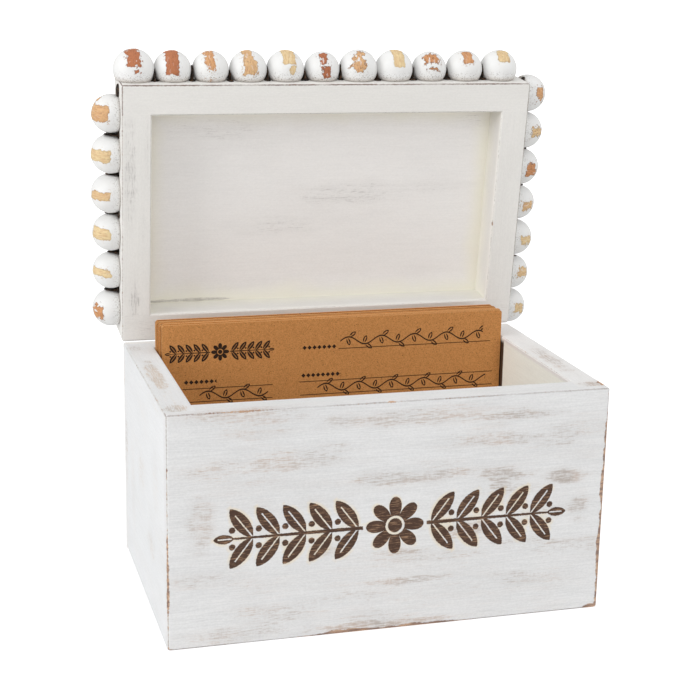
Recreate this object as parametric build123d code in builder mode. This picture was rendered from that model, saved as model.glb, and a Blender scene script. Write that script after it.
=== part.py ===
"""Recipe card box: a painted wooden box with a bead-edged lid on two stop hinges, and its cards.

Sizes are in millimetres. +X is to the right, +Y to the back and +Z up. The origin is the centre
of the base, on the table. The lid is drawn as if it were closed, in a plane of its own that is
then tilted open about the hinge pins, so the model stands with its lid up against the stops.
"""

import os
from math import cos, radians, sin

from build123d import *

# ---- The cards, which set the size of the box around them
card_width = 152.4
card_height = 101.6
card_thickness = 0.42
card_pitch = 0.5
card_corner = 1.2
card_side_room = 1.8
card_wall_gap = 0.3

# The cards stand in three packs: how thick each one is, and how far it is pushed to the right.
card_packs = {"cards_back": (4.5, -0.6), "cards_middle": (3.5, 0.0), "cards_front": (3.0, 0.6)}

# ---- The box
wall = 12.0
inner_depth = 87.0
floor_thickness = 5.0
floor_rebate = 6.0
card_show = 12.6
corner_lip = 4.0
corner_round = 1.2
edge_break = 0.6

# ---- The brads that pin the corners while the glue sets
brad_width = 1.2
brad_thickness = 1.0
brad_length = 20.0
brad_depth = 0.8
brad_fit = 0.03
brad_rows = 3
brad_margin = 16.0

# ---- The lid
lid_open_angle = 83.3
lid_seat_gap = 0.2
lid_side_overhang = 0.4
lid_front_overhang = 0.8
lid_recess = 14.0
lid_board_thickness = 8.0

# ---- The wooden balls along three edges of the lid
ball_radius = 8.0
ball_height = 11.0
front_standoff, front_first, front_pitch = 4.3, 6.4, 16.1
left_standoff, left_first, left_pitch = 3.2, 14.0, 17.1
right_standoff, right_first, right_pitch = 3.2, 6.6, 16.7
row_end_room = 3.0

# ---- The stop hinges
hinge_inset = 39.0
hinge_length = 25.0
leaf_depth = 8.5
leaf_thickness = 1.0
leaf_fit = 0.15
knuckle_count = 3
knuckle_radius = 1.8
knuckle_gap = 0.15
groove_clearance = 0.3
pin_radius = 0.75
pin_clearance = 0.05
stop_reach = 4.8
stop_thickness = 1.0
stop_gap = 0.03

# ---- Sizes that follow from those above
inner_width = card_width + card_side_room
box_width = inner_width + 2 * wall
box_depth = inner_depth + 2 * wall
box_height = floor_thickness + card_height - card_show
back = box_depth / 2
pin_height = box_height + lid_seat_gap / 2
face_offset = lid_seat_gap / 2
lid_width = box_width + 2 * lid_side_overhang
lid_length = box_depth + lid_front_overhang
lid_thickness = lid_recess + lid_board_thickness
knuckle_pitch = hinge_length / knuckle_count
hinge_centres = (hinge_inset - box_width / 2, box_width / 2 - hinge_inset)

# In both hinge planes X runs along the pins, Y to the back and Z from the joint into the wood.
opening = radians(lid_open_angle)
lid_plane = Plane(origin=(0, back, pin_height), x_dir=(1, 0, 0), z_dir=(0, sin(opening), cos(opening)))
box_plane = Plane(origin=(0, back, pin_height), x_dir=(-1, 0, 0), z_dir=(0, 0, -1))

os.makedirs("parts", exist_ok=True)


def finish(piece, name):
    """Labels a finished piece and writes it to its STEP file."""
    piece.label = name
    export_step(piece, f"parts/{name}.step")


def across(plane, start):
    """A section plane across the pins: its X is the hinge plane's Y, and its Y that plane's Z."""
    return Plane(origin=plane.from_local_coords((start, 0, 0)), x_dir=plane.y_dir, z_dir=plane.x_dir)


# ---- Hinge hardware, drawn in either hinge plane --------------------------------------------


def leaf(plane, centre, own):
    """A leaf with its knuckles and the lip that meets the other leaf's lip."""
    start = centre - hinge_length / 2
    stop = lid_open_angle / 2
    lip_place = Location((stop_reach / 2 * cos(radians(stop)), stop_reach / 2 * sin(radians(stop))), stop)
    with BuildPart() as piece:
        with BuildSketch(across(plane, start)):
            with Locations((-leaf_depth / 2, face_offset + leaf_thickness / 2)):
                Rectangle(leaf_depth, leaf_thickness)
            with Locations(lip_place * Location((0, stop_gap + stop_thickness / 2))):
                Rectangle(stop_reach, stop_thickness)
        extrude(amount=hinge_length)
        for index in range(knuckle_count):
            if index % 2 == own:
                with BuildSketch(across(plane, start + index * knuckle_pitch + knuckle_gap / 2)):
                    Circle(knuckle_radius)
                extrude(amount=knuckle_pitch - knuckle_gap)
            else:
                with BuildSketch(across(plane, start + index * knuckle_pitch - knuckle_gap / 2)):
                    Circle(knuckle_radius + knuckle_gap)
                extrude(amount=knuckle_pitch + knuckle_gap, mode=Mode.SUBTRACT)
        with BuildSketch(across(plane, start)):
            Circle(pin_radius + pin_clearance)
        extrude(amount=hinge_length, mode=Mode.SUBTRACT)
    return piece.part


def pin(centre):
    """A hinge pin, as long as the barrel that it runs through."""
    with BuildPart() as piece:
        with BuildSketch(Plane.YZ.offset(-hinge_length / 2)):
            Circle(pin_radius)
        extrude(amount=hinge_length)
    return piece.part.moved(Location((centre, back, pin_height)))


def hinge_cuts(plane):
    """What is cut from the wood on one side of the joint: the leaf beds and the barrel grooves."""
    with BuildPart() as cuts:
        for centre in hinge_centres:
            with BuildSketch(plane):
                with Locations((centre, -leaf_depth / 2)):
                    Rectangle(hinge_length + 2 * leaf_fit, leaf_depth + 2 * leaf_fit)
            extrude(amount=face_offset + leaf_thickness)
            groove_length = hinge_length + 2 * groove_clearance
            with BuildSketch(across(plane, centre - groove_length / 2)):
                Circle(knuckle_radius + groove_clearance)
            extrude(amount=groove_length)
    return cuts.part


# ---- The box ---------------------------------------------------------------------------------

# The four walls are glued up square, then their corners are rounded and their edges eased as one.
with BuildPart() as carcass:
    with BuildSketch():
        outline = Rectangle(box_width, box_depth)
        fillet(outline.vertices(), corner_round)
    extrude(amount=box_height)
    chamfer(carcass.faces().filter_by(Axis.Z).edges(), edge_break)
    with BuildSketch():
        Rectangle(inner_width, inner_depth)
    extrude(amount=box_height, mode=Mode.SUBTRACT)
    rim = carcass.faces().sort_by(Axis.Z)[-1]
    chamfer(rim.inner_wires()[0].edges(), edge_break)
    with BuildSketch():
        Rectangle(inner_width + 2 * floor_rebate, inner_depth + 2 * floor_rebate)
    extrude(amount=floor_thickness, mode=Mode.SUBTRACT)

# Each corner's brads run through the lip of the front or back wall into the end of a side wall.
brad_step = (box_height - 2 * brad_margin) / (brad_rows - 1)
brad_places = [
    Location((x * (box_width - wall) / 2, y * (back - brad_depth), brad_margin + row * brad_step), (y * 90, 0, 0))
    for x in (-1, 1)
    for y in (-1, 1)
    for row in range(brad_rows)
]

brad_seat = (Align.CENTER, Align.CENTER, Align.MIN)
with BuildPart() as brad_holes:
    with Locations(*brad_places):
        Box(brad_width + 2 * brad_fit, brad_thickness + 2 * brad_fit, brad_length + brad_fit, align=brad_seat)

with BuildPart() as corner_brads:
    with Locations(*brad_places):
        Box(brad_width, brad_thickness, brad_length, align=brad_seat)
finish(corner_brads.part, "corner_brads")

# The front and back walls lap over the ends of the side walls.
for name, side in (("front_panel", -1), ("back_panel", 1)):
    with BuildPart() as long_wall:
        add(carcass.part)
        with BuildSketch():
            with Locations((0, side * (back - corner_lip / 2))):
                Rectangle(box_width, corner_lip)
            with Locations((0, side * (back - wall / 2))):
                Rectangle(inner_width, wall)
        extrude(amount=box_height, mode=Mode.INTERSECT)
        add(brad_holes.part, mode=Mode.SUBTRACT)
        if name == "back_panel":
            add(hinge_cuts(box_plane), mode=Mode.SUBTRACT)
    finish(long_wall.part, name)

for name, side in (("left_panel", -1), ("right_panel", 1)):
    with BuildPart() as side_wall:
        add(carcass.part)
        with BuildSketch():
            with Locations((side * (box_width - wall) / 2, 0)):
                Rectangle(wall, box_depth - 2 * corner_lip)
        extrude(amount=box_height, mode=Mode.INTERSECT)
        add(brad_holes.part, mode=Mode.SUBTRACT)
    finish(side_wall.part, name)

# The bottom is let up into a rebate all round, flush with the undersides of the walls.
with BuildPart() as bottom_panel:
    with BuildSketch():
        Rectangle(inner_width + 2 * floor_rebate, inner_depth + 2 * floor_rebate)
    extrude(amount=floor_thickness)
finish(bottom_panel.part, "bottom_panel")

# ---- The cards, standing on the bottom against the back wall -----------------------------------

next_card = inner_depth / 2 - card_wall_gap
for name, (pack_thickness, shift) in card_packs.items():
    count = round(pack_thickness / card_pitch)
    with BuildPart() as pack:
        for index in range(count):
            with BuildSketch(Plane.XZ.offset(-(next_card - index * card_pitch))):
                with Locations((shift, floor_thickness + card_height / 2)):
                    card = Rectangle(card_width, card_height)
                chamfer(card.vertices(), card_corner)
            extrude(amount=card_thickness)
    next_card -= count * card_pitch
    finish(pack.part, name)

# ---- The lid -----------------------------------------------------------------------------------

# The frame and the board are glued up, then rounded and eased together, as the box is.
with BuildPart() as lid_blank:
    with BuildSketch(lid_plane.offset(face_offset)):
        with Locations((0, -lid_length / 2)):
            outline = Rectangle(lid_width, lid_length)
        fillet(outline.vertices(), corner_round)
    extrude(amount=lid_thickness)
    chamfer(lid_blank.faces().filter_by(Axis(lid_plane.origin, lid_plane.z_dir)).edges(), edge_break)
    with BuildSketch(lid_plane.offset(face_offset)):
        with Locations((0, -wall - inner_depth / 2)):
            Rectangle(inner_width, inner_depth)
    extrude(amount=lid_recess, mode=Mode.SUBTRACT)
    lid_rim = lid_blank.faces().sort_by(Axis(lid_plane.origin, lid_plane.z_dir))[0]
    chamfer(lid_rim.inner_wires()[0].edges(), edge_break)

with BuildPart() as lid_board:
    add(lid_blank.part)
    with BuildSketch(lid_plane.offset(face_offset + lid_recess)):
        with Locations((0, -lid_length / 2)):
            Rectangle(lid_width, lid_length)
    extrude(amount=lid_board_thickness, mode=Mode.INTERSECT)
finish(lid_board.part, "lid_board")

# The front and back rails run the whole width of the lid, and the side rails fit between them.
front_rail_width = lid_length - inner_depth - wall
side_rail_width = (lid_width - inner_width) / 2
side_rail_x = (lid_width - side_rail_width) / 2
rails = {
    "lid_front_rail": (0, -lid_length + front_rail_width / 2, lid_width, front_rail_width),
    "lid_back_rail": (0, -wall / 2, lid_width, wall),
    "lid_left_rail": (-side_rail_x, -wall - inner_depth / 2, side_rail_width, inner_depth),
    "lid_right_rail": (side_rail_x, -wall - inner_depth / 2, side_rail_width, inner_depth),
}
for name, (x, y, width, depth) in rails.items():
    with BuildPart() as rail:
        add(lid_blank.part)
        with BuildSketch(lid_plane.offset(face_offset)):
            with Locations((x, y)):
                Rectangle(width, depth)
        extrude(amount=lid_recess, mode=Mode.INTERSECT)
        if name == "lid_back_rail":
            add(hinge_cuts(lid_plane), mode=Mode.SUBTRACT)
    finish(rail.part, name)

# ---- The balls: turned, planed flat at the back and glued to the lid's edges ---------------------


def row_steps(length, first, pitch):
    """Distances of a row's balls from the corner that the row starts at."""
    count = int((length - first - row_end_room) // pitch) + 1
    return [first + index * pitch for index in range(count)]


def ball(standoff):
    """A turned ball with its pole facing out and its back planed flat, to glue on an edge of the lid."""
    with BuildPart() as piece:
        Sphere(ball_radius)
        split(bisect_by=Plane.XY.offset(-standoff), keep=Keep.TOP)
    return piece.part


front_centres = [
    (-lid_width / 2 + step, -lid_length - front_standoff) for step in row_steps(lid_width, front_first, front_pitch)
]
left_centres = [
    (-lid_width / 2 - left_standoff, -lid_length + step) for step in row_steps(lid_length, left_first, left_pitch)
]
right_centres = [
    (lid_width / 2 + right_standoff, -lid_length + step) for step in row_steps(lid_length, right_first, right_pitch)
]
ball_rows = [
    (ball(front_standoff), -lid_plane.y_dir, front_centres),
    (ball(left_standoff), -lid_plane.x_dir, left_centres),
    (ball(right_standoff), lid_plane.x_dir, right_centres),
]
with BuildPart() as edge_beads:
    for turned_ball, outwards, centres in ball_rows:
        for x, y in centres:
            seat = lid_plane.from_local_coords((x, y, ball_height))
            with Locations(Plane(origin=seat, x_dir=lid_plane.z_dir, z_dir=outwards)):
                add(turned_ball)
finish(edge_beads.part, "edge_beads")

# ---- The hinges ----------------------------------------------------------------------------------

for name, centre in zip(("left", "right"), hinge_centres):
    finish(leaf(box_plane, -centre, own=0), f"box_leaf_{name}")
    finish(leaf(lid_plane, centre, own=1), f"lid_leaf_{name}")
    finish(pin(centre), f"hinge_pin_{name}")
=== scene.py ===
"""The finished look of a white wooden recipe card box: its worn paint, turned balls, cards and hinges."""

import random
from functools import partialmethod
from math import cos, pi, radians, sin, sqrt

import bmesh
import bpy
from mathutils import Matrix, Vector


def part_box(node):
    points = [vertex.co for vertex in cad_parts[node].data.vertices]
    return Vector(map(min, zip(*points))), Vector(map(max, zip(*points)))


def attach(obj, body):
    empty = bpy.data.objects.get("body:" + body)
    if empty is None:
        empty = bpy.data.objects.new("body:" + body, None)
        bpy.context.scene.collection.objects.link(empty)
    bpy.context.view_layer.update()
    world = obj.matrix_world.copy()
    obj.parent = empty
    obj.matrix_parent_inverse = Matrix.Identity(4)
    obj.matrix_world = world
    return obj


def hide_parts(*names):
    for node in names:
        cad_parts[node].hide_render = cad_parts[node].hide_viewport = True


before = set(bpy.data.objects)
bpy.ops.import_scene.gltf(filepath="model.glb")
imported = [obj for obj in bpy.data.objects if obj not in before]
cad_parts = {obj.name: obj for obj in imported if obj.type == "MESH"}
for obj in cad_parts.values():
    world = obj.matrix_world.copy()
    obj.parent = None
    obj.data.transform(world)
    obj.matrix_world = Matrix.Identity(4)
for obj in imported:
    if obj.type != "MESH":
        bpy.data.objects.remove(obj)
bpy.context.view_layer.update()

# ---- Camera, lamps and table ---------------------------
# The box stands on a plain white table in a softly lit studio, seen from a little above and from
# the left of its front.

CAMERA_PLACE = Vector((-0.1774, -0.5991, 0.2628))
CAMERA_LENS = 80.2
SENSOR_WIDTH = 36.0
CAMERA_NEAR = 0.01
LOOK_DOWN = radians(14.61)
LOOK_RIGHT = radians(16.24)
CAMERA_TILT = radians(1.17)

forward = Vector((sin(LOOK_RIGHT) * cos(LOOK_DOWN), cos(LOOK_RIGHT) * cos(LOOK_DOWN), -sin(LOOK_DOWN)))
level_right = Vector((cos(LOOK_RIGHT), -sin(LOOK_RIGHT), 0))
level_up = level_right.cross(forward)
camera_right = level_right * cos(CAMERA_TILT) + level_up * sin(CAMERA_TILT)
camera_up = camera_right.cross(forward)
camera = bpy.data.objects.new("camera", bpy.data.cameras.new("camera"))
camera.data.lens = CAMERA_LENS
camera.data.sensor_width = SENSOR_WIDTH
camera.data.sensor_fit = "HORIZONTAL"
camera.data.clip_start = CAMERA_NEAR
camera.matrix_world = Matrix((camera_right, camera_up, -forward)).transposed().to_4x4()
camera.matrix_world.translation = CAMERA_PLACE
bpy.context.collection.objects.link(camera)
bpy.context.scene.camera = camera
bpy.context.scene.view_settings.view_transform = "Standard"

BOX_MIDDLE = Vector((0, 0, 0.1))


def softbox(name, place, size, power):
    """A square lamp of that size in metres, turned towards the box."""
    lamp = bpy.data.objects.new(name, bpy.data.lights.new(name, "AREA"))
    lamp.data.size = size
    lamp.data.energy = power
    lamp.location = place
    lamp.rotation_euler = (BOX_MIDDLE - Vector(place)).to_track_quat("-Z", "Y").to_euler()
    bpy.context.collection.objects.link(lamp)


softbox("key_softbox", (-1.9, -0.6, 0.85), 1.0, 20.0)
softbox("front_softbox", (0.0, -2.0, 0.9), 1.5, 6.4)
softbox("top_softbox", (0.1, -0.4, 1.7), 1.2, 7.0)
softbox("fill_softbox", (1.9, -0.3, 0.9), 1.2, 7.4)


class Bench:
    """A node tree, with short ways to add its nodes. Those of its own family go by their short names."""

    def __init__(self, tree, family="ShaderNode"):
        self.tree = tree
        self.family = family

    def add(self, kind, inputs=None, output=0, **settings):
        """Adds a node, sets or links its inputs, and returns one of its outputs."""
        node = self.tree.nodes.new(kind if "Node" in kind else self.family + kind)
        for name, value in settings.items():
            setattr(node, name, value)
        self.give(node, inputs or {})
        return Flow(self, node.outputs[output])

    def give(self, node, values):
        """Sets or links a node's inputs."""
        for key, value in values.items():
            if isinstance(value, Flow):
                self.tree.links.new(value.socket, node.inputs[key])
            else:
                node.inputs[key].default_value = value

    def flows(self, node):
        """All that comes out of a node, by name."""
        return {socket.name: Flow(self, socket) for socket in node.outputs}

    def use(self, group, inputs):
        """Places a shader group in the tree and returns all that comes out of it."""
        node = self.tree.nodes.new("ShaderNodeGroup")
        node.node_tree = group
        self.give(node, inputs)
        return self.flows(node)


class Flow:
    """What comes out of a node. Arithmetic on it adds a Math node, or Vector Math on a vector or colour."""

    def __init__(self, bench, socket):
        self.bench = bench
        self.socket = socket

    def math(self, operation, *others, output=0):
        kind = "ShaderNodeVectorMath" if self.socket.type in ("VECTOR", "RGBA") else "ShaderNodeMath"
        return self.bench.add(kind, dict(enumerate((self, *others))), output, operation=operation)

    __add__ = partialmethod(math, "ADD")
    __sub__ = partialmethod(math, "SUBTRACT")
    __mul__ = partialmethod(math, "MULTIPLY")
    __truediv__ = partialmethod(math, "DIVIDE")
    __neg__ = partialmethod(math, "MULTIPLY", -1.0)
    __abs__ = partialmethod(math, "ABSOLUTE")
    length = partialmethod(math, "LENGTH", output="Value")

    def __rsub__(self, other):
        return self.bench.add("ShaderNodeMath", {0: other, 1: self}, operation="SUBTRACT")


def least(first, *others):
    """The smallest of several values, of which the first is a flow."""
    for other in others:
        first = first.math("MINIMUM", other)
    return first


def most(first, *others):
    """The largest of several values, of which the first is a flow."""
    for other in others:
        first = first.math("MAXIMUM", other)
    return first


def fade(value, start, end, low=0.0, high=1.0):
    """A smooth step from low at start to high at end."""
    inputs = {"Value": value, "From Min": start, "From Max": end, "To Min": low, "To Max": high}
    return value.bench.add("MapRange", inputs, interpolation_type="SMOOTHSTEP")


def srgb(red, green, blue):
    """The linear colour that a shader takes, from 0 to 255 in each channel."""
    levels = [level / 255 for level in (red, green, blue)]
    return tuple(v / 12.92 if v <= 0.04045 else ((v + 0.055) / 1.055) ** 2.4 for v in levels) + (1.0,)


def finish(name, **plain):
    """A new material of the given plain values, and its bench and Principled BSDF."""
    material = bpy.data.materials.new(name)
    material.use_nodes = True
    bench = Bench(material.node_tree)
    shader = material.node_tree.nodes["Principled BSDF"]
    bench.give(shader, {key.replace("_", " "): value for key, value in plain.items()})
    return material, bench, shader


WORLD_LIGHT = 0.5
PURE_WHITE = (1, 1, 1, 1)
world = bpy.data.worlds.new("studio")
bpy.context.scene.world = world
world.use_nodes = True
sky = Bench(world.node_tree)
seen = most(sky.add("LightPath", output="Is Camera Ray"), sky.add("LightPath", output="Is Glossy Ray"))
strength = sky.add("MapRange", {"Value": seen, "To Min": WORLD_LIGHT, "To Max": 1.0})
sky.give(world.node_tree.nodes["Background"], {"Color": PURE_WHITE, "Strength": strength})

TABLE_SIZE = 60.0
TABLE_WHITE = srgb(244, 244, 244)
TABLE_GLOW = 0.4
GLOW_NEAR, GLOW_FAR = 0.3, 1.6
table_white, bench, shader = finish(
    "table_white", Roughness=0.9, Specular_IOR_Level=0.1, Base_Color=TABLE_WHITE, Emission_Color=PURE_WHITE
)
from_middle = bench.add("TexCoord", output="Object").length()
glow = fade(from_middle, GLOW_NEAR, GLOW_FAR, TABLE_GLOW, 1.0)
glow = glow * bench.add("LightPath", output="Is Camera Ray")
bench.give(shader, {"Emission Strength": glow})
bpy.ops.mesh.primitive_plane_add(size=TABLE_SIZE)
table = bpy.context.object
table.name = "table"
table.data.materials.append(table_white)

# ---- Box walls and bottom ------------------------------
# Five planed pine boards, glued and pinned, stained brown and brushed over with white chalk paint,
# then rubbed through at the arrises. The front board has a sprig border burnt into it.

MM = 0.001
BOX_WIDTH, BOX_DEPTH, BOX_HEIGHT = 178.2, 111.0, 94.0
OPENING_WIDTH, OPENING_DEPTH = 154.2, 87.0
BOX_FLOOR = 5.0

PAINT_WHITE = srgb(230, 229, 228)
PAINT_CREAM = srgb(243, 240, 222)
STAIN_BROWN = srgb(166, 128, 94)
STAIN_TAN = srgb(188, 160, 128)
STAIN_DARK = srgb(102, 80, 71)
SLOT_SHADOW_BROWN = srgb(66, 46, 32)
STAIN_GREY = srgb(158, 152, 150)
STAIN_SMOKE = srgb(112, 104, 96)
BARE_TAN = srgb(192, 152, 118)
BARE_BROWN = srgb(116, 80, 58)
BURNT_BROWN = srgb(72, 50, 38)
BURN_HALO = srgb(232, 212, 172)
CHALK_SHEEN = 0.3


def new_group(name, inputs, outputs):
    """An empty shader group, its bench, what comes in, and its output node. Each socket is listed by
    name, and is a float unless a colon and another kind follow."""
    group = bpy.data.node_groups.new(name, "ShaderNodeTree")
    for way, sockets in (("INPUT", inputs), ("OUTPUT", outputs)):
        for entry in sockets.split(", "):
            label, colon, kind = entry.partition(":")
            group.interface.new_socket(label, in_out=way, socket_type="NodeSocket" + (kind or "Float"))
    bench = Bench(group)
    return group, bench, bench.flows(group.nodes.new("NodeGroupInput")), group.nodes.new("NodeGroupOutput")


def apart(vector):
    """The three parts of a vector."""
    first = vector.bench.add("SeparateXYZ", {0: vector})
    return [Flow(vector.bench, part) for part in first.socket.node.outputs]


def together(x, y, z=0.0):
    """The vector of three parts, of which the first is a flow."""
    return x.bench.add("CombineXYZ", {0: x, 1: y, 2: z})


def grain_noise(place, stretch, detail=2.0, roughness=0.5):
    """Noise from 0 to 1, as fine as one factor says, or three factors, one for each way."""
    if isinstance(stretch, tuple):
        place, stretch = place * stretch, 1.0
    inputs = {"Vector": place, "Scale": stretch, "Detail": detail, "Roughness": roughness}
    return place.bench.add("TexNoise", inputs)


def mixed(factor, first, second, blend_type="MIX"):
    """The second colour over the first by the factor. At least one of the three is a flow."""
    bench = next(value.bench for value in (factor, first, second) if isinstance(value, Flow))
    inputs = {0: factor, 6: first, 7: second}
    return bench.add("Mix", inputs, output=2, data_type="RGBA", blend_type=blend_type)


def place_in_mm(bench, turn=(0, 0, 0), shift=(0, 0, 0)):
    """The place on the object in mm, turned and then shifted."""
    inputs = {"Vector": bench.add("TexCoord", output="Object"), "Scale": (1 / MM,) * 3}
    return bench.add("Mapping", {**inputs, "Rotation": turn, "Location": shift})


def relief(height, strength, depth):
    """The normal of a surface whose relief is that deep, in mm."""
    return height.bench.add("Bump", {"Height": height, "Strength": strength, "Distance": depth * MM})


# How far a place is from the outer arrises, the opening's arrises and the opening's inner corners,
# and whether it lies inside the opening.
arris_distance, bench, taken, given = new_group(
    "arris_distance",
    "Place:Vector, Half Width, Half Depth, Height, Floor, "
    "Opening Half Width, Opening Half Depth, Opening Shift",
    "Arris, Inner Arris, Corner, Inside",
)
x, y, z = apart(taken["Place"])
from_side = taken["Half Width"] - abs(x)
from_end = taken["Half Depth"] - abs(y)
from_rim = taken["Height"] - z
past_side = abs(x) - taken["Opening Half Width"]
past_end = abs(y - taken["Opening Shift"]) - taken["Opening Half Depth"]
past_wall = most(past_side, past_end)
above_floor = z - taken["Floor"]
foot_corner = most(abs(past_wall), abs(above_floor))
upright_corner = most(abs(past_side), abs(past_end))
bench.give(given, {
    "Arris": most(least(from_side, from_end), least(most(from_side, from_end), from_rim, z)),
    "Inner Arris": most(abs(past_wall), from_rim),
    "Corner": least(foot_corner, upright_corner),
    "Inside": fade(past_wall, 0.9, 0.3) * fade(from_rim, 0.7, 3.0) * fade(above_floor, -1.0, -0.4),
})

# White paint brushed along the grain over stain. Thin lets the stain show in streaks, Wear is how
# many mm of wood are bare at an arris, and Line is the thread of stain at the arris itself.
brushed_paint, bench, taken, given = new_group(
    "brushed_paint",
    "Grain Place:Vector, Arris, Wear, Line, Thin, Cream, Strokes, Paint:Color, Stain:Color",
    "Color:Color, Roughness, Height",
)
place = taken["Grain Place"]
strokes = grain_noise(place, (0.03, 0.55, 0.55), 3.0, 0.6)
hairs = grain_noise(place, (0.09, 2.3, 2.3), 3.0, 0.6)
ticks = grain_noise(place, (0.3, 2.3, 2.3), 3.0, 0.65)
crossing = grain_noise(place, (1.5, 0.35, 0.35), 2.0, 0.6)
clouds = grain_noise(place, (0.014, 0.035, 0.035))
uneven = grain_noise(place, 0.05, 3.0, 0.6)
rag = grain_noise(place, 0.9, 3.0, 0.65) - 0.5

lines = strokes * 0.2 + hairs * 0.3 + ticks * 0.4 + crossing * 0.1
worn_lines = fade(lines - fade(taken["Thin"], 0.0, 1.0, 0.64, 0.465), -0.075, 0.115)
see_through = worn_lines * fade(taken["Thin"], 0.0, 1.0, 0.22, 0.6)
wash = taken["Thin"] * fade(strokes, 0.3, 0.7, 0.03, 0.19)
reach = taken["Wear"] * fade(uneven, 0.32, 0.68, 0.25, 1.8)
bare = fade(reach - (taken["Arris"] + rag * 1.3), -0.15, 0.2)
thread = fade(taken["Arris"] + rag * 0.5, 0.68, 0.36) * fade(uneven, 0.32, 0.55, 0.5, 1.0) * taken["Line"]

shade = fade(hairs * 0.5 + strokes * 0.25 + clouds * 0.25, 0.34, 0.66, -0.085, 0.05)
flecks = fade(grain_noise(place, (0.9, 1.3, 1.3), 3.0, 0.7), 0.3, 0.7, -0.028, 0.028)
shade = shade * taken["Strokes"] + flecks * (taken["Strokes"] + 0.5) + 1.0
paint = mixed(1.0, taken["Paint"], together(shade, shade, shade), "MULTIPLY")
paint = mixed(taken["Cream"], paint, PAINT_CREAM)
stain = mixed(fade(uneven, 0.38, 0.6, 0.55, 0.0), taken["Stain"], STAIN_SMOKE)
paint = mixed(most(wash, see_through), paint, stain)
paint = mixed(thread, paint, STAIN_DARK)
wood = mixed(fade(grain_noise(place, (0.12, 0.9, 0.9), 3.0), 0.38, 0.62), BARE_TAN, BARE_BROWN)
bench.give(given, {
    "Color": mixed(bare * 0.85, paint, wood),
    "Roughness": fade(bare, 0.0, 1.0, 0.62, 0.75),
    "Height": strokes * 0.5 - bare * 0.6 + hairs * 0.5,
})

# A patch with a soft, wandering edge.
soft_blotch, bench, taken, given = new_group(
    "soft_blotch", "Place:Vector, Middle:Vector, Spread:Vector, Strength", "Mask"
)
offset = (taken["Place"] - taken["Middle"]) / taken["Spread"]
wander = grain_noise(taken["Place"], (0.06, 0.2, 0.2)) - 0.5
bench.give(given, {"Mask": fade(offset.length() + wander, 1.1, 0.2) * taken["Strength"]})

SPRIG_REACH = 72.0
STEM_START, STEM_FOOT, STEM_END = 15.0, 13.0, 65.0
STEM_HALF_THICK, STEM_HALF_THIN = 0.75, 0.4
LEAF_PITCH, LEAF_PAIRS = 10.4, 5
LEAF_LENGTH, LEAF_HALF_WIDTH = 15.0, 3.0
LEAF_LEAN = radians(53)
VEIN_HALF_WIDTH, VEIN_SHARE = 0.26, 0.78
TIP_START, TIP_HALF_WIDTH = 64.0, 1.9
BERRY_ALONG, BERRY_ACROSS, BERRY_RADIUS = 8.2, 3.4, 1.25
PETALS, PETAL_START, PETAL_LENGTH = 8, 4.2, 7.6
RING_RADIUS, RING_HALF_WIDTH = 3.4, 0.5


def turned(along, across, angle):
    """A place in the plane, measured along and across a line that leans by the angle."""
    return along * cos(angle) + across * sin(angle), across * cos(angle) - along * sin(angle)


def from_point(along, across):
    """The distance from the origin in the plane."""
    return (along * along + across * across).math("SQRT")


def leaf(along, across, length, half_width):
    """The distance in mm to a pointed leaf that starts at the origin and lies along the first way."""
    share = along / length
    belly = most(share * (1.0 - share) * 4.0, 0.0).math("POWER", 0.75)
    edge = most(abs(across) - belly * half_width, -along, along - length)
    return most(edge, least(VEIN_HALF_WIDTH - abs(across), length * VEIN_SHARE - along))


# The distance in mm to a border: a leafy sprig with berries on each side of a flower.
burnt_sprig, bench, taken, given = new_group("burnt_sprig", "Place:Vector", "Distance")
x, y, z = apart(taken["Place"])
along, across = abs(x), abs(y)
from_start = along - STEM_START
pair = least(most((from_start / LEAF_PITCH).math("FLOOR"), 0.0), LEAF_PAIRS - 1.0)
local = from_start - pair * LEAF_PITCH
leaves = leaf(*turned(local, across, LEAF_LEAN), LEAF_LENGTH, LEAF_HALF_WIDTH)
tip = leaf(along - TIP_START, y, SPRIG_REACH - TIP_START, TIP_HALF_WIDTH)
stem = across - fade(along, STEM_START, SPRIG_REACH, STEM_HALF_THICK, STEM_HALF_THIN)
stem = most(stem, STEM_FOOT - along, along - STEM_END)
berry = from_point(local - BERRY_ALONG, across - BERRY_ACROSS) - BERRY_RADIUS
radius = from_point(x, y)
petal = abs((y.math("ARCTAN2", x) * (PETALS / 2)).math("COSINE")).math("POWER", 0.55) * PETAL_LENGTH
flower = most(radius - (petal + PETAL_START), RING_HALF_WIDTH - abs(radius - RING_RADIUS))
bench.give(given, {"Distance": least(leaves, tip, stem, berry, flower)})

BOX_ARRISES = {
    "Half Width": BOX_WIDTH / 2, "Half Depth": BOX_DEPTH / 2, "Height": BOX_HEIGHT, "Floor": BOX_FLOOR,
    "Opening Half Width": OPENING_WIDTH / 2, "Opening Half Depth": OPENING_DEPTH / 2,
}
ALONG_X = (0, 0, 0)
ALONG_Y = (0, 0, pi / 2)
FRONT_Y = -BOX_DEPTH / 2
GRAIN_STEP = Vector((417.0, 91.0, 133.0))
INNER_ARRIS_SPARED = 1.6
CREAM_START, CREAM_FULL, CREAM_WANDER = 15.0, 4.0, 10.0


def blotched(place, base, blotches):
    """The base value, and more in blotches, each with a middle and a spread in mm and a strength."""
    for middle, spread, strength in blotches:
        inputs = {"Place": place, "Middle": middle, "Spread": spread, "Strength": strength}
        base = most(place.bench.use(soft_blotch, inputs)["Mask"], base)
    return base


def dress(node, material):
    """Gives a CAD node its finish."""
    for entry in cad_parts[node].material_slots:
        entry.material = material


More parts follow.
